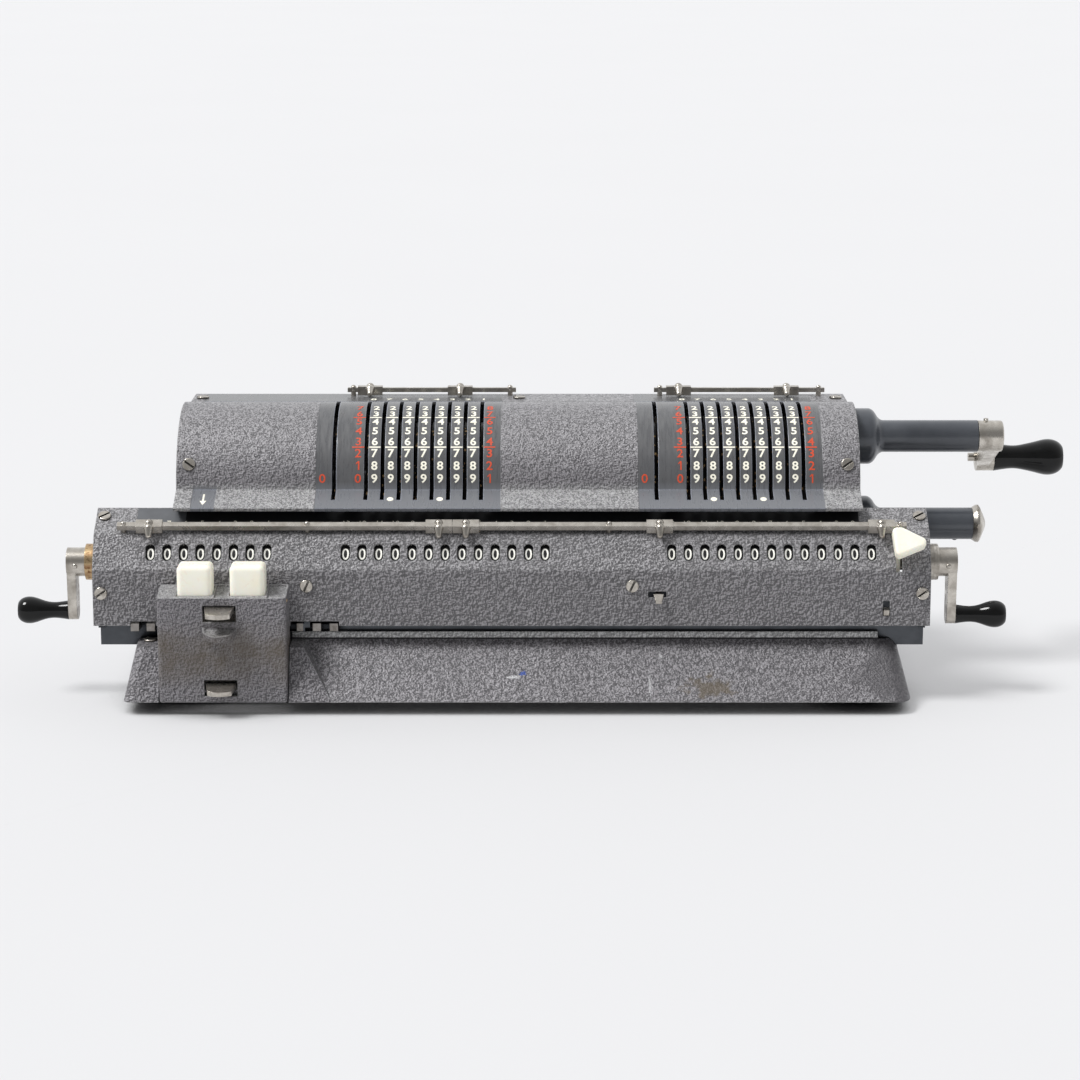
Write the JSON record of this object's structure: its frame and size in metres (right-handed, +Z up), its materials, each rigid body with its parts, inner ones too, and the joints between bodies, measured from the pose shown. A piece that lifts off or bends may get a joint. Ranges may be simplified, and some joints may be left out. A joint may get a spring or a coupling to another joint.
{
  "type": "pinwheel calculator",
  "caption": "Hand-cranked twin pinwheel calculator with slotted drum cover, shifting register carriage, clearing cranks, shift keys and a low cast base.",
  "frame": {"origin": "middle of the whole footprint, on the surface that the feet stand on", "axes": "+X along the drums towards the main crank, +Y to the back, +Z up"},
  "size_m": [0.5214, 0.1598, 0.1375],
  "materials": {
    "hammertone_casting": "grey hammertone enamel on a casting, worn at the edges",
    "hammertone_paint": "grey hammertone enamel with smooth slate panels",
    "slate_enamel": "dark slate enamel, satin",
    "slate_steel": "blued steel with a dull sheen",
    "frame_steel": "plain ground steel",
    "wheel_steel": "turned steel, lightly oiled",
    "nickel": "worn nickel plate",
    "black_wheel": "black with cream digits",
    "black_plastic": "black gloss grip",
    "ivory_plastic": "aged ivory plastic, satin gloss",
    "foot_rubber": "black rubber"
  },
  "bodies": {
    "machine": {"base_casting": "hammertone_casting", "rubber_feet": "foot_rubber", "side_frames": "hammertone_paint", "drum_cover": "hammertone_paint", "rear_cover": "hammertone_paint", "top_marker_rails": "nickel", "body_screws": "nickel", "key_housing": "hammertone_paint", "bearing_tubes": "slate_enamel", "catch_cap": "nickel", "frame_rails": "frame_steel"},
    "drum": {"drum_shaft": "frame_steel", "pinwheels": "wheel_steel"},
    "crank": {"crank_shaft": "frame_steel", "crank_arm": "nickel"},
    "crank_handle": {"crank_handle": "black_plastic"},
    "carriage": {"carriage_cover": "hammertone_paint", "carriage_frame": "slate_steel", "carriage_marker_rail": "nickel", "carriage_screws": "nickel"},
    "counter_wheels": {"counter_wheels": "black_wheel"},
    "result_wheels": {"result_wheels": "black_wheel"},
    "clear_crank_left": {"clear_crank_left": "nickel"},
    "clear_crank_right": {"clear_crank_right": "nickel"},
    "clear_handle_left": {"clear_handle_left": "black_plastic"},
    "clear_handle_right": {"clear_handle_right": "black_plastic"},
    "transfer_knob": {"transfer_knob": "ivory_plastic"},
    "point_slider": {"point_slider": "nickel"},
    "register_slider": {"register_slider": "nickel"},
    "shift_key_left": {"shift_key_left": "ivory_plastic"},
    "shift_key_right": {"shift_key_right": "ivory_plastic"},
    "release_tab": {"release_tab": "nickel"},
    "lock_tab": {"lock_tab": "nickel"},
    "clearing_lever_left": {"clearing_lever_left": "wheel_steel"},
    "clearing_lever_right": {"clearing_lever_right": "wheel_steel"},
    "setting_lever_left_1": {"setting_lever_left_1": "wheel_steel"},
    "setting_lever_left_2": {"setting_lever_left_2": "wheel_steel"},
    "setting_lever_left_3": {"setting_lever_left_3": "wheel_steel"},
    "setting_lever_left_4": {"setting_lever_left_4": "wheel_steel"},
    "setting_lever_left_5": {"setting_lever_left_5": "wheel_steel"},
    "setting_lever_left_6": {"setting_lever_left_6": "wheel_steel"},
    "setting_lever_left_7": {"setting_lever_left_7": "wheel_steel"},
    "setting_lever_left_8": {"setting_lever_left_8": "wheel_steel"},
    "setting_lever_right_1": {"setting_lever_right_1": "wheel_steel"},
    "setting_lever_right_2": {"setting_lever_right_2": "wheel_steel"},
    "setting_lever_right_3": {"setting_lever_right_3": "wheel_steel"},
    "setting_lever_right_4": {"setting_lever_right_4": "wheel_steel"},
    "setting_lever_right_5": {"setting_lever_right_5": "wheel_steel"},
    "setting_lever_right_6": {"setting_lever_right_6": "wheel_steel"},
    "setting_lever_right_7": {"setting_lever_right_7": "wheel_steel"},
    "setting_lever_right_8": {"setting_lever_right_8": "wheel_steel"},
    "comma_rider_1": {"comma_rider_1": "nickel"},
    "comma_rider_2": {"comma_rider_2": "nickel"},
    "comma_rider_3": {"comma_rider_3": "nickel"},
    "comma_rider_4": {"comma_rider_4": "nickel"},
    "comma_rider_5": {"comma_rider_5": "nickel"},
    "top_rider_1": {"top_rider_1": "nickel"},
    "top_rider_2": {"top_rider_2": "nickel"},
    "top_rider_3": {"top_rider_3": "nickel"},
    "top_rider_4": {"top_rider_4": "nickel"}
  },
  "joints": [
    {"name": "drum_turn", "type": "hinge", "parent": "machine", "child": "drum", "pos_m": [-0.0178, 0.01805, 0.095], "axis": [1, 0, 0], "continuous": true},
    {"name": "crank_turn", "type": "hinge", "parent": "machine", "child": "crank", "pos_m": [-0.0178, 0.01805, 0.1186], "axis": [1, 0, 0], "continuous": true},
    {"name": "crank_handle_pull", "type": "slide", "parent": "crank", "child": "crank_handle", "axis": [1, 0, 0], "range_m": [0, 0.005], "stiffness_N_per_m": 200, "springref_m": -0.002},
    {"name": "clearing_lever_left_set", "type": "hinge", "parent": "drum", "child": "clearing_lever_left", "pos_m": [-0.0178, 0.01805, 0.095], "axis": [1, 0, 0], "range_deg": [0, 81]},
    {"name": "clearing_lever_right_set", "type": "hinge", "parent": "drum", "child": "clearing_lever_right", "pos_m": [-0.0178, 0.01805, 0.095], "axis": [1, 0, 0], "range_deg": [0, 81]},
    {"name": "setting_lever_left_1_set", "type": "hinge", "parent": "drum", "child": "setting_lever_left_1", "pos_m": [-0.0178, 0.01805, 0.095], "axis": [1, 0, 0], "range_deg": [0, 81]},
    {"name": "setting_lever_left_2_set", "type": "hinge", "parent": "drum", "child": "setting_lever_left_2", "pos_m": [-0.0178, 0.01805, 0.095], "axis": [1, 0, 0], "range_deg": [0, 81]},
    {"name": "setting_lever_left_3_set", "type": "hinge", "parent": "drum", "child": "setting_lever_left_3", "pos_m": [-0.0178, 0.01805, 0.095], "axis": [1, 0, 0], "range_deg": [0, 81]},
    {"name": "setting_lever_left_4_set", "type": "hinge", "parent": "drum", "child": "setting_lever_left_4", "pos_m": [-0.0178, 0.01805, 0.095], "axis": [1, 0, 0], "range_deg": [0, 81]},
    {"name": "setting_lever_left_5_set", "type": "hinge", "parent": "drum", "child": "setting_lever_left_5", "pos_m": [-0.0178, 0.01805, 0.095], "axis": [1, 0, 0], "range_deg": [0, 81]},
    {"name": "setting_lever_left_6_set", "type": "hinge", "parent": "drum", "child": "setting_lever_left_6", "pos_m": [-0.0178, 0.01805, 0.095], "axis": [1, 0, 0], "range_deg": [0, 81]},
    {"name": "setting_lever_left_7_set", "type": "hinge", "parent": "drum", "child": "setting_lever_left_7", "pos_m": [-0.0178, 0.01805, 0.095], "axis": [1, 0, 0], "range_deg": [0, 81]},
    {"name": "setting_lever_left_8_set", "type": "hinge", "parent": "drum", "child": "setting_lever_left_8", "pos_m": [-0.0178, 0.01805, 0.095], "axis": [1, 0, 0], "range_deg": [0, 81]},
    {"name": "setting_lever_right_1_set", "type": "hinge", "parent": "drum", "child": "setting_lever_right_1", "pos_m": [-0.0178, 0.01805, 0.095], "axis": [1, 0, 0], "range_deg": [0, 81]},
    {"name": "setting_lever_right_2_set", "type": "hinge", "parent": "drum", "child": "setting_lever_right_2", "pos_m": [-0.0178, 0.01805, 0.095], "axis": [1, 0, 0], "range_deg": [0, 81]},
    {"name": "setting_lever_right_3_set", "type": "hinge", "parent": "drum", "child": "setting_lever_right_3", "pos_m": [-0.0178, 0.01805, 0.095], "axis": [1, 0, 0], "range_deg": [0, 81]},
    {"name": "setting_lever_right_4_set", "type": "hinge", "parent": "drum", "child": "setting_lever_right_4", "pos_m": [-0.0178, 0.01805, 0.095], "axis": [1, 0, 0], "range_deg": [0, 81]},
    {"name": "setting_lever_right_5_set", "type": "hinge", "parent": "drum", "child": "setting_lever_right_5", "pos_m": [-0.0178, 0.01805, 0.095], "axis": [1, 0, 0], "range_deg": [0, 81]},
    {"name": "setting_lever_right_6_set", "type": "hinge", "parent": "drum", "child": "setting_lever_right_6", "pos_m": [-0.0178, 0.01805, 0.095], "axis": [1, 0, 0], "range_deg": [0, 81]},
    {"name": "setting_lever_right_7_set", "type": "hinge", "parent": "drum", "child": "setting_lever_right_7", "pos_m": [-0.0178, 0.01805, 0.095], "axis": [1, 0, 0], "range_deg": [0, 81]},
    {"name": "setting_lever_right_8_set", "type": "hinge", "parent": "drum", "child": "setting_lever_right_8", "pos_m": [-0.0178, 0.01805, 0.095], "axis": [1, 0, 0], "range_deg": [0, 81]},
    {"name": "carriage_shift", "type": "slide", "parent": "machine", "child": "carriage", "axis": [1, 0, 0], "range_m": [-0.032, 0.024]},
    {"name": "counter_wheels_turn", "type": "hinge", "parent": "carriage", "child": "counter_wheels", "pos_m": [-0.0178, -0.03395, 0.0666], "axis": [1, 0, 0], "continuous": true},
    {"name": "result_wheels_turn", "type": "hinge", "parent": "carriage", "child": "result_wheels", "pos_m": [-0.0178, -0.03395, 0.0666], "axis": [1, 0, 0], "continuous": true},
    {"name": "clear_crank_left_turn", "type": "hinge", "parent": "carriage", "child": "clear_crank_left", "pos_m": [-0.0178, -0.03395, 0.0666], "axis": [1, 0, 0], "range_deg": [0, 360]},
    {"name": "clear_handle_left_spin", "type": "hinge", "parent": "clear_crank_left", "child": "clear_handle_left", "pos_m": [-0.0178, -0.03395, 0.0425], "axis": [1, 0, 0], "continuous": true},
    {"name": "clear_crank_right_turn", "type": "hinge", "parent": "carriage", "child": "clear_crank_right", "pos_m": [-0.0178, -0.03395, 0.0666], "axis": [1, 0, 0], "range_deg": [0, 360]},
    {"name": "clear_handle_right_spin", "type": "hinge", "parent": "clear_crank_right", "child": "clear_handle_right", "pos_m": [-0.0178, -0.03395, 0.0405], "axis": [1, 0, 0], "continuous": true},
    {"name": "transfer_knob_swing", "type": "hinge", "parent": "carriage", "child": "transfer_knob", "pos_m": [-0.0178, -0.03395, 0.0666], "axis": [1, 0, 0], "range_deg": [0, 30.5]},
    {"name": "point_slider_slide", "type": "slide", "parent": "carriage", "child": "point_slider", "axis": [1, 0, 0], "range_m": [-0.0034, 0.0022]},
    {"name": "register_slider_slide", "type": "slide", "parent": "carriage", "child": "register_slider", "axis": [0, 0, 1], "range_m": [0, 0.0036]},
    {"name": "comma_rider_1_slide", "type": "slide", "parent": "carriage", "child": "comma_rider_1", "axis": [1, 0, 0], "range_m": [-0.003, 0.06]},
    {"name": "comma_rider_2_slide", "type": "slide", "parent": "carriage", "child": "comma_rider_2", "axis": [1, 0, 0], "range_m": [-0.05, 0]},
    {"name": "comma_rider_3_slide", "type": "slide", "parent": "carriage", "child": "comma_rider_3", "axis": [1, 0, 0], "range_m": [0, 0.06]},
    {"name": "comma_rider_4_slide", "type": "slide", "parent": "carriage", "child": "comma_rider_4", "axis": [1, 0, 0], "range_m": [-0.016, 0.04]},
    {"name": "comma_rider_5_slide", "type": "slide", "parent": "carriage", "child": "comma_rider_5", "axis": [1, 0, 0], "range_m": [-0.048, 0]},
    {"name": "top_rider_1_slide", "type": "slide", "parent": "machine", "child": "top_rider_1", "axis": [1, 0, 0], "range_m": [0, 0.015]},
    {"name": "top_rider_2_slide", "type": "slide", "parent": "machine", "child": "top_rider_2", "axis": [1, 0, 0], "range_m": [-0.015, 0.014]},
    {"name": "top_rider_3_slide", "type": "slide", "parent": "machine", "child": "top_rider_3", "axis": [1, 0, 0], "range_m": [0, 0.022]},
    {"name": "top_rider_4_slide", "type": "slide", "parent": "machine", "child": "top_rider_4", "axis": [1, 0, 0], "range_m": [-0.018, 0.005]},
    {"name": "shift_key_left_press", "type": "slide", "parent": "machine", "child": "shift_key_left", "axis": [0, 0, 1], "range_m": [-0.006, 0], "stiffness_N_per_m": 150, "springref_m": 0.004},
    {"name": "shift_key_right_press", "type": "slide", "parent": "machine", "child": "shift_key_right", "axis": [0, 0, 1], "range_m": [-0.006, 0], "stiffness_N_per_m": 150, "springref_m": 0.004},
    {"name": "release_tab_press", "type": "slide", "parent": "machine", "child": "release_tab", "axis": [0, 0, 1], "range_m": [-0.0035, 0], "stiffness_N_per_m": 150, "springref_m": 0.003},
    {"name": "lock_tab_press", "type": "slide", "parent": "machine", "child": "lock_tab", "axis": [0, 0, 1], "range_m": [-0.003, 0], "stiffness_N_per_m": 150, "springref_m": 0.003}
  ],
  "couplings": [
    {"joint": "crank_turn", "follows": "drum_turn", "ratio": -1}
  ]
}
